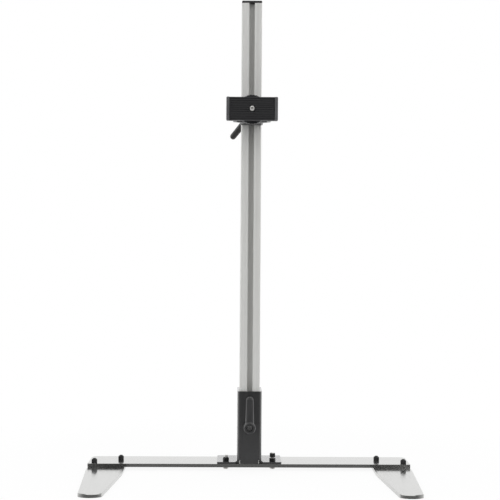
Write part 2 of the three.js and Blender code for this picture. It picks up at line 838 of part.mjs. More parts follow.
// The carriage body: a ring round the column with a neck that reaches forward to the platform.
function makeCarriageBody() {
  const outside = outline([
    [-ringOutsideX, ringFrontY - ringFrontWall, ringCornerRadius],
    [ringOutsideX, ringFrontY - ringFrontWall, ringCornerRadius],
    [ringOutsideX, ringRearY + ringRearWall, ringCornerRadius],
    [-ringOutsideX, ringRearY + ringRearWall, ringCornerRadius],
  ]);
  const inside = outline([
    [-ringInsideX, ringFrontY, ringBoreRadius],
    [ringInsideX, ringFrontY, ringBoreRadius],
    [ringInsideX, ringRearY, ringBoreRadius],
    [-ringInsideX, ringRearY, ringBoreRadius],
  ]);
  const neck = outline([
    [neckFrontY, -plateHeight / 2],
    [ringFrontY, -plateHeight / 2],
    [ringFrontY, ringHigh],
    [ringFrontY - ringFrontWall, ringHigh],
    [neckFrontY, plateHeight / 2],
  ]);
  const bore = raise(inside, ringHeight + 2 * cutOverrun, ringLow - cutOverrun);
  const studHole = rodAlongY(
    studRadius + studGap,
    ringRearY - cutOverrun,
    ringRearY + ringRearWall + cutOverrun,
    0,
    ringRise,
  );
  let body = raise(outside, ringHeight, ringLow).subtract(bore).subtract(studHole);
  body = body.add(raiseAlongX(neck, neckWidth));
  [-1, 1].forEach((side) => {
    body = body.subtract(rodAlongY(
      platformScrewRadius + platformScrewGap,
      neckFrontY - cutOverrun,
      neckFrontY + platformScrewGrip + platformScrewGap,
      (side * platformScrewSpacing) / 2,
      0,
    ));
  });
  return piece('carriage_body', body, looks.blackPlate);
}

// A liner at one side of the ring, with keys that run in the mouths of the column's slots.
function makeSideLiner(name, side) {
  const outerX = ringInsideX;
  const innerX = ringInsideX - linerThickness;
  const keyX = innerX - keyDepth;
  const halfKey = slotOpening / 2 - keyGap;
  const keyYs = [-slotPitch / 2, slotPitch / 2];
  const inner = keyYs.flatMap((keyY) => [
    [innerX, keyY - halfKey],
    [keyX, keyY - halfKey],
    [keyX, keyY + halfKey],
    [innerX, keyY + halfKey],
  ]);
  const corners = [
    [innerX, -sideLinerDepth / 2],
    ...inner,
    [innerX, sideLinerDepth / 2],
    [outerX, sideLinerDepth / 2],
    [outerX, -sideLinerDepth / 2],
  ];
  const shape = outline(corners.map(([x, y]) => [side * x, y]));
  const liner = raise(shape, ringHeight - 2 * linerInset, ringLow + linerInset);
  return piece(name, liner, looks.blackPlastic, [0, columnMiddleY, 0]);
}

// The liner in front of the column, as tall as ring and neck together.
function makeFrontLiner() {
  const x = frontLinerWidth / 2;
  const faceY = ringFrontY + linerThickness;
  const halfKey = slotOpening / 2 - keyGap;
  const shape = outline([
    [-x, ringFrontY],
    [x, ringFrontY],
    [x, faceY],
    [halfKey, faceY],
    [halfKey, faceY + keyDepth],
    [-halfKey, faceY + keyDepth],
    [-halfKey, faceY],
    [-x, faceY],
  ]);
  const low = linerInset - plateHeight / 2;
  const liner = raise(shape, ringHigh - linerInset - low, low);
  return piece('front_glide_liner', liner, looks.blackPlastic);
}

// The shoe that the carriage lever presses on the column, keyed to the rear slot.
function makeClampShoe() {
  const x = shoeWidth / 2;
  const faceY = columnRearY + shoeGap;
  const backY = faceY + shoeThickness;
  const halfKey = slotOpening / 2 - keyGap;
  const shape = outline([
    [-x, faceY],
    [-halfKey, faceY],
    [-halfKey, faceY - keyDepth],
    [halfKey, faceY - keyDepth],
    [halfKey, faceY],
    [x, faceY],
    [x, backY],
    [-x, backY],
  ]);
  const pocket = rodAlongY(studRadius + studGap, backY - shoePocketDepth, backY + cutOverrun, 0, 0);
  const shoe = raise(shape, shoeHeight, -shoeHeight / 2).subtract(pocket);
  return piece('clamp_shoe', shoe, looks.steel, [0, 0, ringRise]);
}

// The camera platform: a lipped plate on two webs that enclose the thumb wheel's window.
function makeCameraPlatform() {
  const plateX = plateWidth / 2;
  const webX = windowWidth / 2 + webThickness;
  const rearX = neckWidth / 2;
  const right = [
    [plateX, lipFrontY],
    [plateX, windowFrontY],
    [webX, windowFrontY, webFilletRadius],
    [webX, windowRearY],
    [rearX, neckFrontY - platformRearStraight],
    [rearX, neckFrontY],
  ];
  const left = right.map(([x, y, radius = 0]) => [-x, y, radius]).reverse();
  const recess = block(
    [lipWidth - plateX, lipFrontY - cutOverrun, -plateHeight],
    [plateX - lipWidth, plateFrontY, plateHeight],
  );
  const window = outline([
    [-windowWidth / 2, windowFrontY, windowCornerRadius],
    [windowWidth / 2, windowFrontY, windowCornerRadius],
    [windowWidth / 2, windowRearY, windowCornerRadius],
    [-windowWidth / 2, windowRearY, windowCornerRadius],
  ]);
  const face = roundedRectangle(plateWidth, plateHeight, plateCornerRadius);
  let platform = raise(outline([...right, ...left]), plateHeight, -plateHeight / 2)
    .subtract(recess)
    .subtract(raise(window, plateHeight + 2 * cutOverrun, -plateHeight / 2 - cutOverrun))
    .intersect(raiseAlongY(face, neckFrontY - lipFrontY, lipFrontY))
    .subtract(rodAlongY(
      cameraScrewRadius + cameraScrewGap,
      lipFrontY,
      windowRearY + cameraScrewTail,
      0,
      0,
    ));
  [-1, 1].forEach((side) => {
    const x = (side * platformScrewSpacing) / 2;
    const seatY = windowRearY + platformHeadHeight + platformScrewGap;
    const headHole = rodAlongY(
      platformHeadRadius + platformScrewGap,
      windowRearY - cutOverrun,
      seatY,
      x,
      0,
    );
    const shankHole = rodAlongY(
      platformScrewRadius + platformScrewGap,
      windowRearY,
      neckFrontY + cutOverrun,
      x,
      0,
    );
    platform = platform.subtract(headHole).subtract(shankHole);
  });
  return piece('camera_platform', platform, looks.blackPlate);
}

// The rubber pad between the plate's lips, ribbed across, with a hole for the camera screw.
function makePlatformPad() {
  const ribShare = 0.62;
  const high = plateHeight / 2 - padEdgeInset;
  const pitch = (2 * high) / (padRibCount - 1 + ribShare);
  const floorY = plateFrontY - padBase;
  const corners = [[plateFrontY, -high]];
  for (let rib = 0; rib < padRibCount; rib += 1) {
    const low = rib * pitch - high;
    const top = low + ribShare * pitch;
    if (rib > 0) corners.push([floorY, low]);
    corners.push([padFrontY, low], [padFrontY, top]);
    if (rib < padRibCount - 1) corners.push([floorY, top]);
  }
  corners.push([plateFrontY, high]);
  const padWidth = plateWidth - 2 * (lipWidth + padGroove);
  const hole = rodAlongY(padHoleRadius, padFrontY - cutOverrun, plateFrontY + cutOverrun, 0, 0);
  const pad = raiseAlongX(outline(corners), padWidth).subtract(hole);
  return piece('platform_pad', pad, looks.rubber);
}

// A screw that holds the platform on the carriage's neck, its head inside the window.
function makePlatformScrew(name, side) {
  const length = platformRearWall - platformScrewGap + platformScrewGrip;
  const screw = turn([
    [0, 0],
    [platformHeadRadius, 0],
    [platformHeadRadius, platformHeadHeight],
    [platformScrewRadius, platformHeadHeight],
    [platformScrewRadius, length],
    [0, length],
  ]);
  const place = [(side * platformScrewSpacing) / 2, windowRearY + platformScrewGap, 0];
  const mesh = piece(name, screw.subtract(socketBelow(0)), looks.blackFastener, place);
  mesh.rotation.x = -Math.PI / 2;
  return mesh;
}

// The camera screw and the notched wheel that turns it, both along the platform's axis.
function makeCameraScrewGroup() {
  const group = new THREE.Group();
  group.position.set(0, windowRearY, 0);
  group.rotation.x = Math.PI / 2;
  const tail = -(cameraScrewTail - cameraScrewGap);
  const end = windowRearY - padFrontY + cameraScrewProud;
  const screw = turn([
    [0, tail],
    [cameraScrewRadius, tail],
    [cameraScrewRadius, end - cameraScrewTipChamfer],
    [cameraScrewRadius - cameraScrewTipChamfer, end],
    [cameraScrewDimple, end],
    [0, end - cameraScrewDimple],
  ]);
  const grip = toothedOutline(wheelNotchCount, wheelRadius - wheelNotchDepth, wheelRadius);
  const thickness = windowDepth - 2 * wheelSideGap;
  const bore = rod(cameraScrewRadius + cameraScrewGap, 0, windowDepth);
  const wheel = raiseChamfered(grip, thickness, wheelChamfer, wheelSideGap).subtract(bore);
  group.add(piece('camera_screw', screw, looks.steel));
  group.add(piece('thumb_wheel', wheel, looks.blackPlate));
  return group;
}

// The base with everything that is bolted to it.
function makeBase() {
  const base = new THREE.Group();
  base.add(makeCrossbar());
  base.add(makeColumnBracket());
  base.add(makeSlotNut());
  const sides = { left: -1, right: 1 };
  Object.entries(sides).forEach(([word, side]) => {
    base.add(makeFoot(`${word}_foot`, side));
    Object.entries(footBoltPlaces(side)).forEach(([position, place]) => {
      base.add(makeFootBolt(`${word}_foot_${position}_bolt`, place));
      const seat = [...place, barTop];
      base.add(makeNut(`${word}_foot_${position}_nut`, seat, nutCollarHeight, true));
    });
    const place = bracketBoltPlace(side);
    const length = side < 0 ? leftBracketBoltLength : rightBracketBoltLength;
    base.add(makeBracketBolt(`${word}_bracket_bolt`, place, length));
    base.add(makeWasher(`${word}_bracket_washer`, place));
    const collarHeight = side < 0 ? nutCollarHeight : 0;
    base.add(makeNut(`${word}_bracket_nut`, [...place, flangeTop], collarHeight, false));
  });
  const spareNutSeat = flangeTop + nutHexHeight + spareNutLift;
  const spareNutPlace = [...bracketBoltPlace(sides.right), spareNutSeat];
  base.add(makeNut('right_bracket_second_nut', spareNutPlace, nutCollarHeight, true));
  return base;
}

// The carriage with its liners, its clamp, the platform and the camera screw.
function makeCarriage() {
  const carriage = new THREE.Group();
  carriage.add(makeCarriageBody());
  carriage.add(makeSideLiner('left_glide_liner', -1));
  carriage.add(makeSideLiner('right_glide_liner', 1));
  carriage.add(makeFrontLiner());
  carriage.add(makeClampShoe());
  carriage.add(makeCameraPlatform());
  carriage.add(makePlatformPad());
  carriage.add(makePlatformScrew('left_platform_screw', -1));
  carriage.add(makePlatformScrew('right_platform_screw', 1));
  carriage.add(makeCameraScrewGroup());
  const angle = THREE.MathUtils.degToRad(carriageLeverAngle);
  const lever = makeLever(
    'carriage_lever',
    carriageLeverSizes,
    carriageStudLength,
    new THREE.Vector3(0, 1, 0),
    new THREE.Vector3(-Math.cos(angle), 0, -Math.sin(angle)),
  );
  lever.position.set(0, ringRearY + ringRearWall, ringRise);
  carriage.add(lever);
  carriage.position.set(0, 0, screwAxisHeight);
  return carriage;
}

// The column group stands on the bar, inside the bracket.
function makeColumnGroup() {
  const group = new THREE.Group();
  group.add(makeColumn());
  group.add(makeTopCap());
  group.position.set(0, columnMiddleY, barTop);
  return group;
}

const built = new THREE.Group();
built.add(makeBase());
built.add(makeColumnGroup());
built.add(makeCarriage());
const baseLever = makeLever(
  'base_lever',
  baseLeverSizes,
  baseStudLength,
  new THREE.Vector3(0, -1, 0),
  new THREE.Vector3(0, 0, 1),
);
baseLever.position.set(0, 0, barTop + baseLeverRise);
built.add(baseLever);

// The origin is moved to the middle of the table area that the whole stand covers.
const stand = new THREE.Group();
stand.add(built);
stand.updateMatrixWorld(true);
const middle = new THREE.Box3().setFromObject(stand, true).getCenter(new THREE.Vector3());
built.position.set(-middle.x, -middle.y, 0);

export default stand;
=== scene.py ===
# %% [markdown]
# # A copy stand
# This lesson dresses a small copy stand: a flat base on two feet, a slotted aluminium column
# in a bent black bracket, and a carriage that carries a camera plate. The solid model comes in
# as a fixed frame. Places are in metres, in the frame of that model: X to the right, Y to the
# back, Z up. The sizes of small pieces are in millimetres, and MM turns them into metres.

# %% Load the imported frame
import json
from math import cos, pi, radians, sin, sqrt

import bpy
from mathutils import Matrix, Vector


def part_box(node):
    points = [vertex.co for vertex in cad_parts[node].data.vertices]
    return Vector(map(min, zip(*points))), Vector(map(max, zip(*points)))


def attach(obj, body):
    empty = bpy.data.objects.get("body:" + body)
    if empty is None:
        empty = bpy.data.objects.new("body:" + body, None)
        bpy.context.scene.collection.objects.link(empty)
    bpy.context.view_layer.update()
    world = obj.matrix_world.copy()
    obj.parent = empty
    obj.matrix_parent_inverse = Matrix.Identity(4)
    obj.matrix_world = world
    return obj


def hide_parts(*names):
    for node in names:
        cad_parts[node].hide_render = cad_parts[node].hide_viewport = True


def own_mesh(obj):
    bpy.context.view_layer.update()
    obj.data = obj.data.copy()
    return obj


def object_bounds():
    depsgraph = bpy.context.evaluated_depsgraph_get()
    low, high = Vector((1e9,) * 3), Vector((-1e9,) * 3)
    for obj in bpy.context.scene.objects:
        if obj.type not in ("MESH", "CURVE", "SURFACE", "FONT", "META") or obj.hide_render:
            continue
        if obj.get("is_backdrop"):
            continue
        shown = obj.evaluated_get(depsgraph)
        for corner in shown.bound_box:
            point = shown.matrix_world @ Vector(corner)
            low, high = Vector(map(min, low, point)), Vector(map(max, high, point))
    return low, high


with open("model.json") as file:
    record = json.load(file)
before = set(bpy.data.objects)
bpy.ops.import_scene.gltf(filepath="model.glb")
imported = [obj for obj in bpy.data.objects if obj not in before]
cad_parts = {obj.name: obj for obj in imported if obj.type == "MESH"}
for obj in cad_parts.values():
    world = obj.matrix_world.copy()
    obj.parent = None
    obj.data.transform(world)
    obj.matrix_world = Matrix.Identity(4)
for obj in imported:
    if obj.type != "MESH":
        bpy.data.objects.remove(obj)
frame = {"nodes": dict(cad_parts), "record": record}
cad_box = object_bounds()
MM = 0.001
scene = bpy.context.scene
body_of_node = {
    node: body
    for body, nodes in frame["record"]["behaviour"]["bodies"].items()
    for node in nodes
}

# %% [markdown]
# The camera stands level in front of the stand, 1.66 m from the crossbar and a little under
# half the column's height, with a short telephoto lens. It stands 26 mm left of the middle and
# is turned back to it, which the feet, the bar and the plate show by how they line up. The
# photograph leans by a little over a third of a degree, so the camera rolls by as much.

# %% Camera
CAMERA_DISTANCE = 1.66
CAMERA_HEIGHT = 0.3283
CAMERA_ACROSS = -0.0259
CAMERA_TURN = radians(0.863)
CAMERA_ROLL = radians(0.375)
CAMERA_LENS = 80.4
CAMERA_SENSOR = 36.0
NEAR_CLIP = 0.01
bar_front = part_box("crossbar")[0].y
camera_data = bpy.data.cameras.new("camera")
camera_data.lens = CAMERA_LENS
camera_data.sensor_width = CAMERA_SENSOR
camera_data.clip_start = NEAR_CLIP
camera = bpy.data.objects.new("camera", camera_data)
camera.location = (CAMERA_ACROSS, bar_front - CAMERA_DISTANCE, CAMERA_HEIGHT)
camera.rotation_euler = (pi / 2, -CAMERA_ROLL, -CAMERA_TURN)
scene.collection.objects.link(camera)
scene.camera = camera
scene.view_settings.view_transform = "Standard"
print("camera at", [round(value, 4) for value in camera.location])

# %% [markdown]
# The studio and each finish are built from shader nodes. Three steps come back all the time:
# a range that is mapped to another one, a sum or a product of two values, and a choice between
# two shaders. Each is a small helper that links its inputs and returns its output.

# %% Helpers for shader nodes
def map_range(tree, value, ends, levels, interpolation="LINEAR"):
    """Maps a value between two ends to a number between two levels."""
    node = tree.nodes.new("ShaderNodeMapRange")
    node.interpolation_type = interpolation
    node.inputs["From Min"].default_value, node.inputs["From Max"].default_value = ends
    node.inputs["To Min"].default_value, node.inputs["To Max"].default_value = levels
    tree.links.new(value, node.inputs["Value"])
    return node.outputs["Result"]


def calculate(tree, operation, first, second):
    """Adds or multiplies two values."""
    node = tree.nodes.new("ShaderNodeMath")
    node.operation = operation
    tree.links.new(first, node.inputs[0])
    tree.links.new(second, node.inputs[1])
    return node.outputs[0]


def mix_shaders(tree, share, first, second):
    """Two shaders: a share of 0 gives the first and a share of 1 the second."""
    node = tree.nodes.new("ShaderNodeMixShader")
    tree.links.new(share, node.inputs["Fac"])
    tree.links.new(first, node.inputs[1])
    tree.links.new(second, node.inputs[2])
    return node.outputs[0]


print("node helpers ready")

# %% [markdown]
# The studio is white behind and beside the stand and dark on the photographer's side. Metal
# shows what it mirrors, so this is what makes the plate's top faces pale and its front edges
# dark. A gradient on the direction of the world gives it, and the ceiling is darker than the
# walls, because a lamp hangs there. The camera itself sees plain white.

# %% World
WHITE = (1.0, 1.0, 1.0, 1.0)
FRONT_LEVEL = 0.06
BACK_LEVEL = 1.1
FRONT_TO_BACK = (-0.8, 0.3)
CEILING_SHARE = 0.3
WALL_TO_CEILING = (0.5, 0.95)
world = bpy.data.worlds.new("studio")
scene.world = world
world.use_nodes = True
tree = world.node_tree
tree.nodes.clear()
place = tree.nodes.new("ShaderNodeTexCoord")
split = tree.nodes.new("ShaderNodeSeparateXYZ")
tree.links.new(place.outputs["Generated"], split.inputs[0])
walls = map_range(
    tree, split.outputs["Y"], FRONT_TO_BACK, (FRONT_LEVEL, BACK_LEVEL), "SMOOTHSTEP")
ceiling = map_range(
    tree, split.outputs["Z"], WALL_TO_CEILING, (1.0, CEILING_SHARE), "SMOOTHSTEP")
around = tree.nodes.new("ShaderNodeBackground")
around.inputs["Color"].default_value = WHITE
tree.links.new(calculate(tree, "MULTIPLY", walls, ceiling), around.inputs["Strength"])
backdrop = tree.nodes.new("ShaderNodeBackground")
backdrop.inputs["Color"].default_value = WHITE
backdrop.inputs["Strength"].default_value = 1.0
path = tree.nodes.new("ShaderNodeLightPath")
seen = mix_shaders(tree, path.outputs["Is Camera Ray"], around.outputs[0], backdrop.outputs[0])
out = tree.nodes.new("ShaderNodeOutputWorld")
tree.links.new(seen, out.inputs["Surface"])
print("world:", len(tree.nodes), "nodes")

# %% [markdown]
# Two large soft boxes stand in front, high up at the left and the right, and one hangs above.
# They are big, far away and dim, so their shadows are soft and their mirror images are broad
# and not much brighter than the walls.

# %% Lamps
SOFTBOX_SIZE = 2.4
LAMP_AIM = Vector((0.0, 0.0, 0.3))
SOFTBOXES = {
    "softbox_left": ((-1.5, -1.8, 1.5), 25.0),
    "softbox_right": ((1.5, -1.8, 1.5), 25.0),
    "softbox_top": ((0.0, 0.3, 2.4), 24.0),
}
for name, (location, power) in SOFTBOXES.items():
    data = bpy.data.lights.new(name, "AREA")
    data.energy = power
    data.size = SOFTBOX_SIZE
    lamp = bpy.data.objects.new(name, data)
    lamp.location = location
    lamp.rotation_euler = (LAMP_AIM - Vector(location)).to_track_quat("-Z", "Y").to_euler()
    scene.collection.objects.link(lamp)
print(len(SOFTBOXES), "lamps")

# %% [markdown]
# The floor is a plain sheet a tenth of a millimetre below the feet. It reaches further back
# than forward, because the camera looks that way.

# %% Floor
FLOOR_SIZE = 4.0
FLOOR_MIDDLE = (0.0, 1.1, -0.0001)
bpy.ops.object.select_all(action="DESELECT")
bpy.ops.mesh.primitive_plane_add(size=FLOOR_SIZE, location=FLOOR_MIDDLE)
floor = bpy.context.object
floor.name = "floor"
bpy.ops.object.transform_apply(location=True, rotation=False, scale=False)
floor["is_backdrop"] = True
print("floor:", FLOOR_SIZE, "m square")

# %% [markdown]
# Of the floor, the camera sees mostly a plain white glow, and near the stand a share of matt
# paper, which keeps the soft shadow. Further out the paper fades into the glow, so no horizon
# shows. Mirror rays mostly pass through the floor to the studio's gradient, which keeps the
# front edges of the plates as dark as the photographer's side of the room. Close to the stand
# a small share of them meets the paper, so the bracket is paler near the floor.

# %% Floor paper
PAPER_COLOUR = (0.9, 0.9, 0.9, 1.0)
GLOW_SHARE = 0.9
FADE_REACH = (0.3, 0.6)
MIRROR_SHARE = 0.15
MIRROR_REACH = (-0.9, -0.1)
paper = bpy.data.materials.new("floor_paper")
paper.use_nodes = True
tree = paper.node_tree
tree.nodes.clear()
path = tree.nodes.new("ShaderNodeLightPath")
place = tree.nodes.new("ShaderNodeTexCoord")
matt = tree.nodes.new("ShaderNodeBsdfDiffuse")
matt.inputs["Color"].default_value = PAPER_COLOUR
glow = tree.nodes.new("ShaderNodeEmission")
glow.inputs["Strength"].default_value = 1.0
clear = tree.nodes.new("ShaderNodeBsdfTransparent")
out = tree.nodes.new("ShaderNodeOutputMaterial")

reach = tree.nodes.new("ShaderNodeVectorMath")
reach.operation = "LENGTH"
tree.links.new(place.outputs["Object"], reach.inputs[0])
fade = map_range(tree, reach.outputs["Value"], FADE_REACH, (GLOW_SHARE, 1.0), "SMOOTHSTEP")
glowing = calculate(tree, "MULTIPLY", path.outputs["Is Camera Ray"], fade)
seen = mix_shaders(tree, glowing, matt.outputs[0], glow.outputs[0])

split = tree.nodes.new("ShaderNodeSeparateXYZ")
tree.links.new(place.outputs["Object"], split.inputs[0])
near = map_range(
    tree, split.outputs["Y"], MIRROR_REACH, (1.0, 1.0 - MIRROR_SHARE), "SMOOTHSTEP")
passing = calculate(tree, "MULTIPLY", path.outputs["Is Glossy Ray"], near)
tree.links.new(mix_shaders(tree, passing, seen, clear.outputs[0]), out.inputs["Surface"])
floor.data.materials.append(paper)
print("floor paper:", len(tree.nodes), "nodes")

# %% [markdown]
# Every finish starts as a plain shader with one colour, and some have a clear coat on top.
# The coat is set here on the shader's own sockets.

# %% Helper that starts a finish
COAT_ROUGHNESS = 0.12


def start_finish(name, colour, metallic, roughness, coat=0.0, coat_ior=1.5):
    """A new material with its shader set to plain values. Returns material, tree and shader."""
    material = bpy.data.materials.new(name)
    material.use_nodes = True
    shader = material.node_tree.nodes["Principled BSDF"]
    shader.inputs["Base Color"].default_value = (*colour, 1.0)
    shader.inputs["Metallic"].default_value = metallic
    shader.inputs["Roughness"].default_value = roughness
    shader.inputs["Coat Weight"].default_value = coat
    shader.inputs["Coat Roughness"].default_value = COAT_ROUGHNESS
    shader.inputs["Coat IOR"].default_value = coat_ior
    return material, material.node_tree, shader


print("finish helper ready")

# %% [markdown]
# What makes a finish look real is that it is uneven. Noise in the object's own coordinates
# steers its roughness, its colour and its height, and each finish has its own mixture. Noise
# scales are per metre, and a scale that is low along one axis draws the noise out into lines.

# %% Helpers for noise
NOISE_ENDS = (0.3, 0.7)
ALONG_X, ALONG_Y, ALONG_Z = range(3)


def stretched(across, along, axis):
    """Noise scales that draw the noise out along one axis."""
    scale = [across] * 3
    scale[axis] = along
    return scale


def add_noise(tree, scale, detail=2.0, grain=0.5):
    """Noise in object coordinates, with its own scale along X, Y and Z."""
    place = tree.nodes.new("ShaderNodeTexCoord")
    mapping = tree.nodes.new("ShaderNodeMapping")
    mapping.inputs["Scale"].default_value = scale
    noise = tree.nodes.new("ShaderNodeTexNoise")
    noise.inputs["Scale"].default_value = 1.0
    noise.inputs["Detail"].default_value = detail
    noise.inputs["Roughness"].default_value = grain
    tree.links.new(place.outputs["Object"], mapping.inputs["Vector"])
    tree.links.new(mapping.outputs["Vector"], noise.inputs["Vector"])
    return noise.outputs["Fac"]


def spread(tree, value, low, high):
    """Maps a noise value, which keeps to the middle of its range, to low and high."""
    return map_range(tree, value, NOISE_ENDS, (low, high))


def blend_colours(tree, value, first, second, target):
    """Lets a noise value choose between two colours and feeds the result to a socket."""
    node = tree.nodes.new("ShaderNodeMix")
    node.data_type = "RGBA"
    node.inputs["A"].default_value = (*first, 1.0)
    node.inputs["B"].default_value = (*second, 1.0)
    tree.links.new(spread(tree, value, 0.0, 1.0), node.inputs["Factor"])
    tree.links.new(node.outputs["Result"], target)


def add_height(tree, shader, value, strength, distance):
    """Adds a bump of a depth in metres."""
    node = tree.nodes.new("ShaderNodeBump")
    node.inputs["Strength"].default_value = strength
    node.inputs["Distance"].default_value = distance
    tree.links.new(value, node.inputs["Height"])
    tree.links.new(node.outputs["Normal"], shader.inputs["Normal"])


print("noise helpers ready")

# %% [markdown]
# The crossbar and the feet are satin plate. Sheet of this kind is brushed along its length, so
# the noise is stretched along one axis: fine lines in the height, wider streaks in the
# roughness, and faint clouds where hands and cloths have been. The brushing is fine enough for
# the feet to mirror the bar's edge and the nuts.

# %% Brushed plate
PLATE_COLOUR = (0.53, 0.53, 0.52)
LINE_SHADE = 0.93


def make_brushed(name, colour, axis):
    """Satin metal with brushing along an axis."""
    material, tree, shader = start_finish(name, colour, metallic=1.0, roughness=0.16)
    lines = add_noise(tree, stretched(2600.0, 30.0, axis), 3.0, 0.6)
    streaks = add_noise(tree, stretched(420.0, 9.0, axis))
    clouds = add_noise(tree, (14.0, 14.0, 14.0), 3.0)
    uneven = calculate(
        tree, "ADD", spread(tree, streaks, 0.13, 0.19), spread(tree, clouds, -0.02, 0.03))
    tree.links.new(uneven, shader.inputs["Roughness"])
    darker = tuple(value * LINE_SHADE for value in colour)
    blend_colours(tree, lines, darker, colour, shader.inputs["Base Color"])
    add_height(tree, shader, lines, strength=0.12, distance=0.00001)
    return material


finishes = {
    "plate_across": make_brushed("satin_plate_across", PLATE_COLOUR, ALONG_X),
    "plate_deep": make_brushed("satin_plate_deep", PLATE_COLOUR, ALONG_Y),
}
print("brushed plate:", list(finishes))

# %% [markdown]
# The column is a natural anodised extrusion. The oxide layer is thin and slightly milky, so it
# mirrors less than bare metal and shows its own grey. Drawing through the die leaves faint
# lines along its length.

# %% Anodised profile
OXIDE_GREY = (0.72, 0.72, 0.70)
OXIDE_DARK = (0.69, 0.69, 0.67)
OXIDE_LIGHT = (0.765, 0.765, 0.745)


def make_anodised_profile():
    """Milky grey metal with die lines along Z."""
    material, tree, shader = start_finish(
        "anodised_profile", OXIDE_GREY, metallic=0.2, roughness=0.5)
    lines = add_noise(tree, stretched(1500.0, 2.0, ALONG_Z), 3.0, 0.6)
    bands = add_noise(tree, stretched(260.0, 1.2, ALONG_Z))
    clouds = add_noise(tree, stretched(22.0, 6.0, ALONG_Z), 3.0)
    blend_colours(tree, bands, OXIDE_DARK, OXIDE_LIGHT, shader.inputs["Base Color"])
    tree.links.new(spread(tree, clouds, 0.42, 0.54), shader.inputs["Roughness"])
    add_height(tree, shader, lines, strength=0.2, distance=0.00003)
    return material


finishes["profile"] = make_anodised_profile()
print("anodised profile done")

# %% [markdown]
# The black finishes differ in grain and gloss. The bracket is powder coated, glossy enough to
# go pale where it is seen at a low angle. The cast levers carry a coarser coat of the same
# kind. The carriage is black anodised, finer and a little bluish, with a metal's sheen. Its
# platform is the same anodising in a paler grey, which is painted light: it stands in for the
# front light that the platform's lips catch. The nuts, the bolts of the feet and the
# platform's screws are black steel. The screws in the levers are a paler grey, which is a
# painted highlight on their heads in the dark wells of the hubs.

# %% Black coats
POWDER_GRAIN = (1400.0, 0.000006)
CAST_GRAIN = (2400.0, 0.00006)
OXIDE_GRAIN = (5200.0, 0.00002)
PLASTIC_GRAIN = (3200.0, 0.00003)
RUBBER_GRAIN = (1800.0, 0.00005)
STEEL_GRAIN = (2600.0, 0.00002)


def make_coat(name, dark, light, roughness, grain, metallic=0.0, coat=0.0, coat_ior=1.5):
    """A black finish: two tones in clouds, uneven gloss, and a grain of a scale and a depth."""
    material, tree, shader = start_finish(name, dark, metallic, roughness, coat, coat_ior)
    grain_scale, grain_depth = grain
    peel = add_noise(tree, (grain_scale,) * 3)
    clouds = add_noise(tree, (35.0, 35.0, 35.0), 4.0)
    blend_colours(tree, clouds, dark, light, shader.inputs["Base Color"])
    gloss = spread(tree, clouds, roughness - 0.05, roughness + 0.06)
    tree.links.new(gloss, shader.inputs["Roughness"])
    add_height(tree, shader, peel, strength=0.5, distance=grain_depth)
    return material


black_finishes = {
    "sheet": make_coat(
        "powder_coat", (0.024, 0.024, 0.025), (0.030, 0.030, 0.031), 0.36, POWDER_GRAIN,
        coat=1.0, coat_ior=2.0),
    "cast": make_coat(
        "lever_coat", (0.030, 0.030, 0.031), (0.040, 0.040, 0.041), 0.4, CAST_GRAIN, coat=0.4),
    "anodised": make_coat(
        "black_anodised", (0.016, 0.016, 0.018), (0.022, 0.022, 0.025), 0.36, OXIDE_GRAIN,
        metallic=0.3),
    # The platform's paler grey is painted light: the front light on its lips, put into its
    # colour.
    "platform": make_coat(
        "black_anodised_platform_painted_light", (0.12, 0.12, 0.125), (0.14, 0.14, 0.146), 0.4, OXIDE_GRAIN,
        metallic=0.3),
    "plastic": make_coat(
        "black_plastic", (0.018, 0.018, 0.019), (0.024, 0.024, 0.025), 0.5, PLASTIC_GRAIN),
    "rubber": make_coat(
        "pad_rubber", (0.020, 0.020, 0.022), (0.028, 0.028, 0.030), 0.72, RUBBER_GRAIN),
    "black_steel": make_coat(
        "black_oxide", (0.014, 0.014, 0.015), (0.024, 0.024, 0.024), 0.28, STEEL_GRAIN,
        metallic=0.4),
    # The paler grey of these screws is a painted highlight on their heads in the hubs' wells.
    "lever_screw": make_coat(
        "black_oxide_socket_painted_highlight", (0.24, 0.24, 0.24), (0.34, 0.34, 0.34), 0.42, STEEL_GRAIN,
        metallic=1.0),
}
finishes.update(black_finishes)
print("black coats:", len(black_finishes))

# %% [markdown]
# The bracket's bolts and washers and the camera screw are zinc plated: bright, with fine
# turning marks. Noise that is stretched round the piece would need its own coordinates on each
# screw, so short scratches along Y do the work here.

# %% Bright steel
ZINC = (0.80, 0.79, 0.77)
ZINC_DARK = (0.74, 0.73, 0.71)
ZINC_LIGHT = (0.86, 0.85, 0.83)


def make_bright_steel():
    """Plated steel with fine scratches and uneven gloss."""
    material, tree, shader = start_finish("bright_steel", ZINC, metallic=1.0, roughness=0.42)
    scratches = add_noise(tree, stretched(3000.0, 900.0, ALONG_Y), 3.0, 0.7)
    clouds = add_noise(tree, (160.0, 160.0, 160.0), 3.0)
    tree.links.new(spread(tree, clouds, 0.34, 0.5), shader.inputs["Roughness"])
    blend_colours(tree, clouds, ZINC_DARK, ZINC_LIGHT, shader.inputs["Base Color"])
    add_height(tree, shader, scratches, strength=0.3, distance=0.00002)
    return material


finishes["steel"] = make_bright_steel()
print("finishes:", sorted(finishes))

# %% [markdown]
# Operators act on what is selected, so each piece is selected alone before it is worked on.
# A finished piece gets its finish, takes the place of its node and rides on that node's body.

# %% Helpers for every piece
def select_only(piece):
    """Leaves one object selected and active."""
    bpy.ops.object.select_all(action="DESELECT")
    piece.select_set(True)
    bpy.context.view_layer.objects.active = piece


def edit_all():
    """Opens the active object in edit mode with everything selected."""
    bpy.ops.object.mode_set(mode="EDIT")
    bpy.ops.mesh.select_all(action="SELECT")


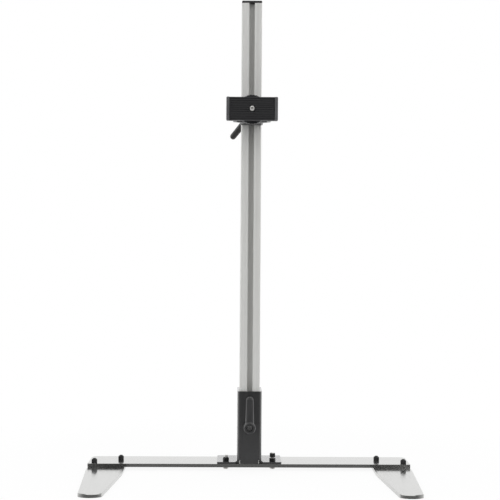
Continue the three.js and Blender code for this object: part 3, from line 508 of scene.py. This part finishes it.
def apply_modifier(piece, kind, **settings):
    """Adds a modifier, sets it and applies it."""
    modifier = piece.modifiers.new(kind.lower(), kind)
    for key, value in settings.items():
        setattr(modifier, key, value)
    select_only(piece)
    bpy.ops.object.modifier_apply(modifier=modifier.name)


def smooth(piece, angle):
    """Smooth shading that stops at edges sharper than an angle in degrees."""
    select_only(piece)
    bpy.ops.object.shade_smooth_by_angle(angle=radians(angle))


def hand_over(piece, node, finish):
    """Gives a finished piece its material and makes it stand for its node."""
    piece.name = node + "_finished"
    piece.data.materials.clear()
    piece.data.materials.append(finishes[finish])
    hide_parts(node)
    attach(piece, body_of_node[node])
    print(node, len(piece.data.polygons), "faces")


print("piece helpers ready")

# %% [markdown]
# The solid model gives each plate and casting its shape with sharp edges. Real edges are
# broken, and the thin line of light on them is what makes metal look like metal. So a copy of
# the node is welded, its flat faces are joined again, and a narrow bevel runs round its edges.

# %% Helpers that soften the edges of a node
WELD_DISTANCE = 0.01
FLAT_ANGLE = 0.4
SHARP_ANGLE = 30
UPPER_BAND = 0.1


def bevel_edges(piece, width):
    """Narrow rounded bevels on all sharp edges."""
    apply_modifier(
        piece, "BEVEL", width=width * MM, segments=2, limit_method="ANGLE",
        angle_limit=radians(SHARP_ANGLE), use_clamp_overlap=True,
    )
    smooth(piece, SHARP_ANGLE)
    apply_modifier(piece, "WEIGHTED_NORMAL", keep_sharp=True)


def chamfer_upper(piece, width):
    """One flat chamfer round the upper face, which is lowered and then drawn in and up."""
    bpy.ops.object.mode_set(mode="EDIT")
    bpy.ops.mesh.select_mode(type="FACE")
    bpy.ops.mesh.select_all(action="DESELECT")
    bpy.ops.object.mode_set(mode="OBJECT")
    top = max(vertex.co.z for vertex in piece.data.vertices)
    for face in piece.data.polygons:
        face.select = face.center.z > top - UPPER_BAND * MM
    bpy.ops.object.mode_set(mode="EDIT")
    bpy.ops.transform.translate(value=(0.0, 0.0, -width * MM))
    bpy.ops.mesh.inset(thickness=width * MM, depth=width * MM)
    bpy.ops.mesh.select_mode(type="VERT")
    bpy.ops.object.mode_set(mode="OBJECT")
    smooth(piece, SHARP_ANGLE)


def soften(node, finish, width, edges=bevel_edges):
    """A copy of a node with welded faces and broken edges."""
    piece = frame["nodes"][node].copy()
    piece.data = piece.data.copy()
    piece.parent = None
    piece.matrix_world = Matrix.Identity(4)
    scene.collection.objects.link(piece)
    select_only(piece)
    edit_all()
    bpy.ops.mesh.remove_doubles(threshold=WELD_DISTANCE * MM)
    bpy.ops.mesh.dissolve_limited(angle_limit=radians(FLAT_ANGLE))
    bpy.ops.object.mode_set(mode="OBJECT")
    edges(piece, width)
    hand_over(piece, node, finish)


print("softening helpers ready")

# %% [markdown]
# Plates, sheet, profile and castings only need this. Their bevels differ, and the table gives
# them in millimetres: the edge of a rolled bar is nearly sharp, that of an extrusion is
# rounded. The feet have a filed chamfer round their upper faces, which shows as a line of
# light above their dark front edges.

# %% Plates, sheet, profile and castings
SOFTENED = {
    "crossbar": ("plate_across", 0.15),
    "column_bracket": ("sheet", 0.12),
    "column": ("profile", 0.5),
    "column_top_cap": ("plastic", 0.3),
    "carriage_body": ("anodised", 0.4),
    "camera_platform": ("platform", 0.35),
    "platform_pad": ("rubber", 0.2),
    "left_glide_liner": ("plastic", 0.15),
    "right_glide_liner": ("plastic", 0.15),
    "front_glide_liner": ("plastic", 0.15),
    "clamp_shoe": ("steel", 0.2),
    "base_slot_nut": ("steel", 0.2),
    "base_lever_insert": ("steel", 0.1),
    "carriage_lever_insert": ("steel", 0.1),
}
FOOT_CHAMFER = 0.7
for node, (finish, width) in SOFTENED.items():
    soften(node, finish, width)
for node in ("left_foot", "right_foot"):
    soften(node, "plate_deep", FOOT_CHAMFER, chamfer_upper)

# %% [markdown]
# Turned parts grow from a circle: each step extrudes the last face and scales it, the way a
# lathe's profile steps in and out. The same circle with six sides grows a hexagon. A finished
# form is moved to its place, which is written into its mesh.

# %% Helpers for turned forms
ROUND = 48
HEXAGON = 6


def settle(piece, matrix=None):
    """Moves a piece by a matrix and writes its place into the mesh."""
    if matrix is not None:
        piece.matrix_world = matrix @ piece.matrix_world
    select_only(piece)
    bpy.ops.object.transform_apply(location=True, rotation=True, scale=True)
    return piece


def make_outward():
    """In edit mode: turns all faces outward and leaves edit mode."""
    bpy.ops.mesh.select_all(action="SELECT")
    bpy.ops.mesh.normals_make_consistent(inside=False)
    bpy.ops.object.mode_set(mode="OBJECT")


def turn_up(rings, sides=ROUND):
    """A body round Z from rings of radius and height, in millimetres, from the bottom up."""
    radius, height = rings[0]
    bpy.ops.object.select_all(action="DESELECT")
    bpy.ops.mesh.primitive_circle_add(
        vertices=sides, radius=radius * MM, fill_type="NGON", location=(0.0, 0.0, height * MM))
    piece = bpy.context.object
    edit_all()
    for next_radius, next_height in rings[1:]:
        step = (0.0, 0.0, (next_height - height) * MM)
        bpy.ops.mesh.extrude_region_move(TRANSFORM_OT_translate={"value": step})
        share = next_radius / radius
        bpy.ops.transform.resize(value=(share, share, 1.0), center_override=(0.0, 0.0, 0.0))
        radius, height = next_radius, next_height
    make_outward()
    return settle(piece)


print("turning helpers ready")

# %% [markdown]
# Threads and springs are wire that is wound round a core. A small circle, or for a thread a
# diamond, stands beside the Z axis, and a screw modifier winds it up. Its open ends are filled.

# %% Helper for wound forms
def wind(wire, coil, pitch, turns, low, corners, steps=24):
    """A wire of round or cornered section wound round Z, in millimetres, with closed ends."""
    bpy.ops.object.select_all(action="DESELECT")
    bpy.ops.mesh.primitive_circle_add(
        vertices=corners, radius=wire * MM, fill_type="NOTHING",
        location=(coil * MM, 0.0, low * MM), rotation=(pi / 2, 0.0, 0.0))
    piece = settle(bpy.context.object)
    apply_modifier(
        piece, "SCREW", angle=2 * pi * turns, screw_offset=pitch * turns * MM,
        steps=round(steps * turns), render_steps=round(steps * turns),
    )
    edit_all()
    bpy.ops.mesh.fill_holes(sides=0)
    make_outward()
    return piece


print("winding helper ready")

# %% [markdown]
# Exact booleans join and cut these forms. A cutter reaches a millimetre past the face that it
# opens, so that the two faces don't coincide. A form that repeats is copied with its own mesh,
# and a node's box says where it stands.

# %% Helpers that cut, copy and place
PAST = 1.0


def combine(piece, other, operation):
    """Joins, cuts or intersects a piece with another one, which is used up."""
    apply_modifier(piece, "BOOLEAN", operation=operation, solver="EXACT", object=other)
    mesh = other.data
    bpy.data.objects.remove(other)
    bpy.data.meshes.remove(mesh)
    return piece


def cut_bore(piece, radius, low, high, sides=ROUND):
    """Cuts a straight hole along Z, round or with a few sides."""
    return combine(piece, turn_up([(radius, low), (radius, high)], sides), "DIFFERENCE")


def copy_of(piece):
    """The same form once more, with its own mesh."""
    twin = piece.copy()
    twin.data = piece.data.copy()
    scene.collection.objects.link(twin)
    return twin


def middle_of(node):
    """The middle of a node's box."""
    low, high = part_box(node)
    return (low + high) / 2


def depth_of(node):
    """A node's size along Y, in millimetres."""
    low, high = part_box(node)
    return (high.y - low.y) / MM


def stand_at(node, height=0.0):
    """A matrix that moves to a node's middle in X and Y and to a height."""
    middle = middle_of(node)
    return Matrix.Translation((middle.x, middle.y, height))


print("forming helpers ready")

# %% [markdown]
# A real bolt shows its thread where it ends above the nut. The ridge is a wound diamond that
# is joined to a core, and a turned envelope trims crest and end.

# %% Helper for threads
THREAD_SIDES = 36
FACET_ANGLE = 25


def threaded_rod(crest, ridge, pitch, low, high, chamfer):
    """A threaded rod round Z from low to high, with a chamfered upper end."""
    core = crest - ridge
    turns = (high - low) / pitch + 2
    rod = turn_up([(core, low), (core, high + pitch)], THREAD_SIDES)
    thread = wind(ridge, core, pitch, turns, low - pitch, corners=4)
    rod = combine(rod, thread, "UNION")
    envelope = turn_up([
        (core + 0.02, low), (crest + 0.05, low + 0.01),
        (crest + 0.05, high - chamfer), (crest - chamfer, high),
    ], THREAD_SIDES)
    return combine(rod, envelope, "INTERSECT")


print("thread helper ready")

# %% [markdown]
# The foot bolts have sunk heads that lie flush in the underside of the feet, the bracket bolts
# have button heads, and all of them have a hexagon in the bottom of the head. The right
# bracket bolt is longer, because it carries two nuts.

# %% Bolts
BOLT_RADIUS = 2.5
BOLT_PITCH = 0.8
RIDGE = 0.385
END_CHAMFER = 0.5
SOCKET_RADIUS = 1.7
SOCKET_DEPTH = 1.4
SUNK_HEAD = [(4.75, 0.0), (4.9, 0.15), (2.5, 2.55), (2.5, 3.2)]
BUTTON_HEAD = [
    (2.6, 1.25), (3.5, 1.42), (4.2, 1.95), (4.75, 3.1), (4.75, 3.9), (4.65, 4.0), (2.5, 4.01),
    (2.5, 5.0),
]
FOOT_PLACES = [
    f"{side}_foot_{row}" for side in ("left", "right") for row in ("outer", "inner")]
BRACKET_BOLT_ENDS = {"left_bracket_bolt": 22.0, "right_bracket_bolt": 25.6}


def make_bolt(head, shank_low, end):
    """A bolt from the rings of its head, with a hexagon cut into the bottom of it."""
    bolt = threaded_rod(BOLT_RADIUS, RIDGE, BOLT_PITCH, shank_low, end, END_CHAMFER)
    bolt = combine(bolt, turn_up(head), "UNION")
    bottom = head[0][1]
    bolt = cut_bore(bolt, SOCKET_RADIUS, bottom - PAST, bottom + SOCKET_DEPTH, HEXAGON)
    smooth(bolt, FACET_ANGLE)
    return bolt


foot_bolt = make_bolt(SUNK_HEAD, shank_low=3.0, end=17.0)
for foot_place in FOOT_PLACES:
    node = foot_place + "_bolt"
    hand_over(settle(copy_of(foot_bolt), stand_at(node)), node, "black_steel")
bpy.data.objects.remove(foot_bolt)
for node, end in BRACKET_BOLT_ENDS.items():
    bracket_bolt = make_bolt(BUTTON_HEAD, shank_low=4.8, end=end)
    hand_over(settle(bracket_bolt, stand_at(node)), node, "steel")

# %% [markdown]
# A lock nut is a hexagon with a low round collar that holds its plastic ring. Both its ends
# are chamfered like a cone, which gives the curved corners. The nuts on the feet stand with a
# corner to the front, the first nuts on the flanges with a flat, and the second nut on the
# right flange with a corner again.

# %% Nuts
NUT_WIDTH = 8.0
CORNER_RADIUS = NUT_WIDTH / sqrt(3.0)
HEX_HEIGHT = 4.7
COLLAR = [(3.9, HEX_HEIGHT + 0.01), (3.9, 5.25), (3.72, 5.6), (3.35, 5.8)]
BORE_RADIUS = 2.53
CORNER_FORWARD = [foot_place + "_nut" for foot_place in FOOT_PLACES]
CORNER_FORWARD.append("right_bracket_second_nut")


def make_nut(collar):
    """A nut round Z from zero up, with or without the collar of a lock nut."""
    rings = [
        (CORNER_RADIUS - 0.6, 0.0), (CORNER_RADIUS + 0.02, 0.4),
        (CORNER_RADIUS + 0.02, HEX_HEIGHT - 0.4), (CORNER_RADIUS - 0.6, HEX_HEIGHT),
    ] + collar
    top = rings[-1][1]
    blank = turn_up(rings)
    hexagon = turn_up([(CORNER_RADIUS, 0.0), (CORNER_RADIUS, top)], HEXAGON)
    nut = combine(hexagon, blank, "INTERSECT")
    bore = turn_up([
        (3.0, -0.1), (BORE_RADIUS, 0.4), (BORE_RADIUS, top - 0.4), (2.9, top + 0.1)])
    nut = combine(nut, bore, "DIFFERENCE")
    smooth(nut, FACET_ANGLE)
    return nut


lock_nut = make_nut(COLLAR)
plain_nut = make_nut([])
for node in CORNER_FORWARD + ["left_bracket_nut", "right_bracket_nut"]:
    pattern = plain_nut if node == "right_bracket_nut" else lock_nut
    turned = 0.0 if node in CORNER_FORWARD else pi / 6
    place = stand_at(node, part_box(node)[0].z) @ Matrix.Rotation(turned, 4, "Z")
    hand_over(settle(copy_of(pattern), place), node, "black_steel")
bpy.data.objects.remove(lock_nut)
bpy.data.objects.remove(plain_nut)

# %% [markdown]
# Washers lie between the button heads and the bar. They are stamped, so one edge is a little
# rounded.

# %% Washers
WASHER = [(4.9, 4.0), (5.0, 4.1), (5.0, 4.85), (4.85, 5.0)]
WASHER_BORE = 2.75
for node in ("left_bracket_washer", "right_bracket_washer"):
    washer = cut_bore(turn_up(WASHER), WASHER_BORE, 4.0 - PAST, 5.0 + PAST)
    smooth(washer, SHARP_ANGLE)
    hand_over(settle(washer, stand_at(node)), node, "steel")

# %% [markdown]
# The platform is held by two cap screws with plain cylindrical heads, reached through the
# window. Their shanks go into the neck of the carriage.

# %% Platform screws
CAP_HEAD = [(3.3, 0.0), (3.5, 0.2), (3.5, 3.8), (3.4, 4.0), (2.0, 4.01)]
CAP_SOCKET_DEPTH = 1.9
for node in ("left_platform_screw", "right_platform_screw"):
    length = depth_of(node)
    screw = turn_up(CAP_HEAD + [(2.0, length - 0.3), (1.7, length)])
    screw = cut_bore(screw, SOCKET_RADIUS, -PAST, CAP_SOCKET_DEPTH, HEXAGON)
    smooth(screw, SHARP_ANGLE)
    middle = middle_of(node)
    front = Matrix.Translation((middle.x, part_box(node)[0].y, middle.z))
    hand_over(settle(screw, front @ Matrix.Rotation(-pi / 2, 4, "X")), node, "black_steel")

# %% [markdown]
# The camera screw is the usual quarter inch screw with twenty threads to the inch. Its end
# stands out of the pad and has a small hexagon, so that it can be set from the front.

# %% Camera screw
CAMERA_SCREW_RADIUS = 3.175
CAMERA_SCREW_PITCH = 1.27
CAMERA_SCREW_RIDGE = 0.61
CAMERA_SOCKET_RADIUS = 1.9
CAMERA_SOCKET_DEPTH = 4.0
screw_middle = middle_of("camera_screw")


def turn_to_front(node):
    """A matrix that lays Z forward on the camera screw's axis, from the back of a node."""
    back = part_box(node)[1].y
    start = Matrix.Translation((screw_middle.x, back, screw_middle.z))
    return start @ Matrix.Rotation(pi / 2, 4, "X")


length = depth_of("camera_screw")
screw = threaded_rod(
    CAMERA_SCREW_RADIUS, CAMERA_SCREW_RIDGE, CAMERA_SCREW_PITCH, 0.0, length, chamfer=0.8)
screw = cut_bore(
    screw, CAMERA_SOCKET_RADIUS, length - CAMERA_SOCKET_DEPTH, length + PAST, HEXAGON)
smooth(screw, FACET_ANGLE)
hand_over(settle(screw, turn_to_front("camera_screw")), "camera_screw", "steel")

# %% [markdown]
# The thumb wheel is a disc with rounded rims and shallow round notches all round. One cylinder
# for each notch stands a little more than half outside the rim. They are joined and cut away
# together.

# %% Thumb wheel
WHEEL_RADIUS = 21.18
WHEEL_BORE = 3.5
WHEEL_SIDES = 180
NOTCHES = 30
NOTCH_RADIUS = 1.25
NOTCH_OUTSIDE = 0.55
thick = depth_of("thumb_wheel")
rim = [(WHEEL_RADIUS - 0.8, 0.0), (WHEEL_RADIUS - 0.25, 0.2), (WHEEL_RADIUS, 0.75)]
far_rim = [(radius, thick - height) for radius, height in reversed(rim)]
wheel = turn_up(rim + far_rim, WHEEL_SIDES)
bpy.ops.object.select_all(action="DESELECT")
cutters = []
for number in range(NOTCHES):
    turned = Matrix.Rotation((number + 0.5) * 2 * pi / NOTCHES, 4, "Z")
    at = turned @ Vector(((WHEEL_RADIUS + NOTCH_OUTSIDE) * MM, 0.0, thick / 2 * MM))
    bpy.ops.mesh.primitive_cylinder_add(
        vertices=16, radius=NOTCH_RADIUS * MM, depth=(thick + 2 * PAST) * MM, location=at)
    cutters.append(bpy.context.object)
for cutter in cutters:
    cutter.select_set(True)
bpy.context.view_layer.objects.active = cutters[0]
bpy.ops.object.join()
wheel = combine(wheel, settle(bpy.context.object), "DIFFERENCE")
wheel = cut_bore(wheel, WHEEL_BORE, -PAST, thick + PAST)
smooth(wheel, SHARP_ANGLE)
hand_over(settle(wheel, turn_to_front("thumb_wheel")), "thumb_wheel", "anodised")

# %% [markdown]
# A clamping lever is cast in one piece: a round hub that widens upward and an arm that lifts
# away from it. The arm grows from a square with cut corners, drawn out in rings. Hub and arm
# are joined and remeshed, so that the corner between them is filled like a casting's, and then
# the bores are cut. The rings give the arm's shape: it narrows and lifts from the root to the
# tip, and its end is a half circle that gets a little thinner. INSIDE is taken off each side
# of the widths, so that the remeshed casting stays inside its solid.

# %% Helpers for the arm of a lever
ROOT_LOW, ROOT_HIGH = 9.1, 23.4
TIP_LOW, TIP_HIGH = 17.1, 24.9
ARM_STATIONS = ((0.0, 0.0), (0.3, 0.35), (0.55, 0.65), (0.8, 0.9), (1.0, 1.0))
TIP_STATIONS = (0.2, 0.4, 0.58, 0.74, 0.87, 0.96)
TIP_THINNING = 1.4
INSIDE = 0.1


def between(first, second, share):
    """A value between two others."""
    return first + (second - first) * share


def grow_arm(rings):
    """An arm along X from rings of distance, width, low and high, in millimetres."""
    bpy.ops.object.select_all(action="DESELECT")
    bpy.ops.mesh.primitive_plane_add(size=MM, rotation=(0.0, pi / 2, 0.0))
    arm = settle(bpy.context.object)
    edit_all()
    bpy.ops.mesh.bevel(offset=0.3 * MM, segments=4, affect="VERTICES")
    bpy.ops.mesh.select_all(action="SELECT")
    along, width, low, high = rings[0]
    bpy.ops.transform.resize(value=(1.0, width, high - low), center_override=(0.0, 0.0, 0.0))
    bpy.ops.transform.translate(value=(along * MM, 0.0, (low + high) / 2 * MM))
    for next_along, next_width, next_low, next_high in rings[1:]:
        rise = (next_low + next_high - low - high) / 2 * MM
        step = ((next_along - along) * MM, 0.0, rise)
        bpy.ops.mesh.extrude_region_move(TRANSFORM_OT_translate={"value": step})
        centre = (next_along * MM, 0.0, (next_low + next_high) / 2 * MM)
        size = (1.0, next_width / width, (next_high - next_low) / (high - low))
        bpy.ops.transform.resize(value=size, center_override=centre)
        along, width, low, high = next_along, next_width, next_low, next_high
    make_outward()
    return arm


def arm_rings(arm_length, tip, root):
    """Rings for an arm that narrows and lifts from root to tip, with a round end."""
    straight = arm_length - tip / 2
    rings = []
    for share, lift in ARM_STATIONS:
        rings.append((straight * share, between(root, tip, share) - 2 * INSIDE,
                      between(ROOT_LOW, TIP_LOW, lift), between(ROOT_HIGH, TIP_HIGH, lift)))
    for share in TIP_STATIONS:
        across = sqrt(1.0 - share * share)
        thin = (1.0 - across) * TIP_THINNING
        rings.append((straight + (tip / 2 - INSIDE) * share, (tip - 2 * INSIDE) * across,
                      TIP_LOW + thin, TIP_HIGH - thin))
    return rings


print("arm helpers ready")

# %% [markdown]
# From the bottom up, the hub has a plain bore for the insert's flange, the toothed bore, a
# narrow one for the screw, and the well for the screw's head and the spring.

# %% Helper for a lever's casting
VOXEL = 0.42
CAST_ANGLE = 40
HUB_SIDES = 64
TEETH = 20
HANDLE_BORES = (
    (5.9, -1.0, 7.25, ROUND),
    (5.45, 7.0, 11.25, TEETH),
    (2.3, 10.0, 21.0, ROUND),
    (4.6, 13.25, 26.0, ROUND),
)


def make_handle(hub, arm_length, tip, root):
    """The casting of a clamping lever, its hub round Z and its arm along X."""
    handle = turn_up([
        (7.2, 0.85), (7.4, 1.05), (7.4, 8.0), (hub - 0.05, 12.5), (hub - 0.05, 22.8),
        (hub - 0.35, 23.8), (hub - 1.0, 24.5), (hub - 2.0, 24.95),
    ], HUB_SIDES)
    handle = combine(handle, grow_arm(arm_rings(arm_length, tip, root)), "UNION")
    apply_modifier(handle, "REMESH", mode="VOXEL", voxel_size=VOXEL * MM, adaptivity=0.0)
    apply_modifier(handle, "SMOOTH", factor=0.5, iterations=4)
    for bore in HANDLE_BORES:
        handle = cut_bore(handle, *bore)
    smooth(handle, CAST_ANGLE)
    return handle


print("casting helper ready")

# %% [markdown]
# Both levers are the same casting in two sizes: hub radius, arm length, and the arm's width at
# tip and root. Each is modelled lying down and then turned by a frame of three axes: its arm,
# the direction across it, and the stud's direction outward. The front lever's arm stands up,
# and the rear one's hangs down to the side.

# %% Clamping lever handles
CARRIAGE_ARM = radians(51)
LEVERS = (
    ("base_lever", (8.8, 46.0, 11.0, 13.2), bar_front, (0, -1, 0), (0, 0, 1)),
    ("carriage_lever", (8.0, 48.0, 9.6, 11.0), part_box("carriage_body")[1].y,
     (0, 1, 0), (-cos(CARRIAGE_ARM), 0, -sin(CARRIAGE_ARM))),
)
lever_frames = {}
for prefix, sizes, face, outward, along in LEVERS:
    middle = middle_of(prefix + "_insert")
    outward = Vector(outward)
    along = Vector(along)
    columns = (along, outward.cross(along), outward)
    turn = Matrix([list(column) for column in columns]).transposed().to_4x4()
    lever_frames[prefix] = Matrix.Translation((middle.x, face, middle.z)) @ turn
    handle = settle(make_handle(*sizes), lever_frames[prefix])
    hand_over(handle, prefix + "_handle", "cast")

# %% [markdown]
# In the hub's well sits the retaining screw with a hexagon in its head, and below its head a
# spring that presses the handle on to the serration.

# %% Lever screws and springs
WIRE_ANGLE = 60
LEVER_SCREW = [
    (2.0, 3.5), (2.0, 20.76), (4.1, 20.77), (4.2, 20.9), (4.2, 22.75), (4.05, 23.03),
    (3.8, 23.15),
]
for prefix, place in lever_frames.items():
    screw = cut_bore(turn_up(LEVER_SCREW), 1.5, 21.7, 24.0, HEXAGON)
    smooth(screw, SHARP_ANGLE)
    hand_over(settle(screw, place), prefix + "_screw", "lever_screw")
    spring = wind(
        wire=0.35, coil=3.2, pitch=1.55, turns=4.0, low=13.95, corners=10, steps=28)
    smooth(spring, WIRE_ANGLE)
    settle(spring, place)
    hand_over(spring, prefix + "_spring", "steel")
    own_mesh(spring)

# %% [markdown]
# Last, the box of the finished stand is set down beside the box of the solid model.

# %% Sizes
sizes = {
    "cad": [list(corner) for corner in cad_box],
    "visual": [list(corner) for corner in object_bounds()],
}
print(sizes)
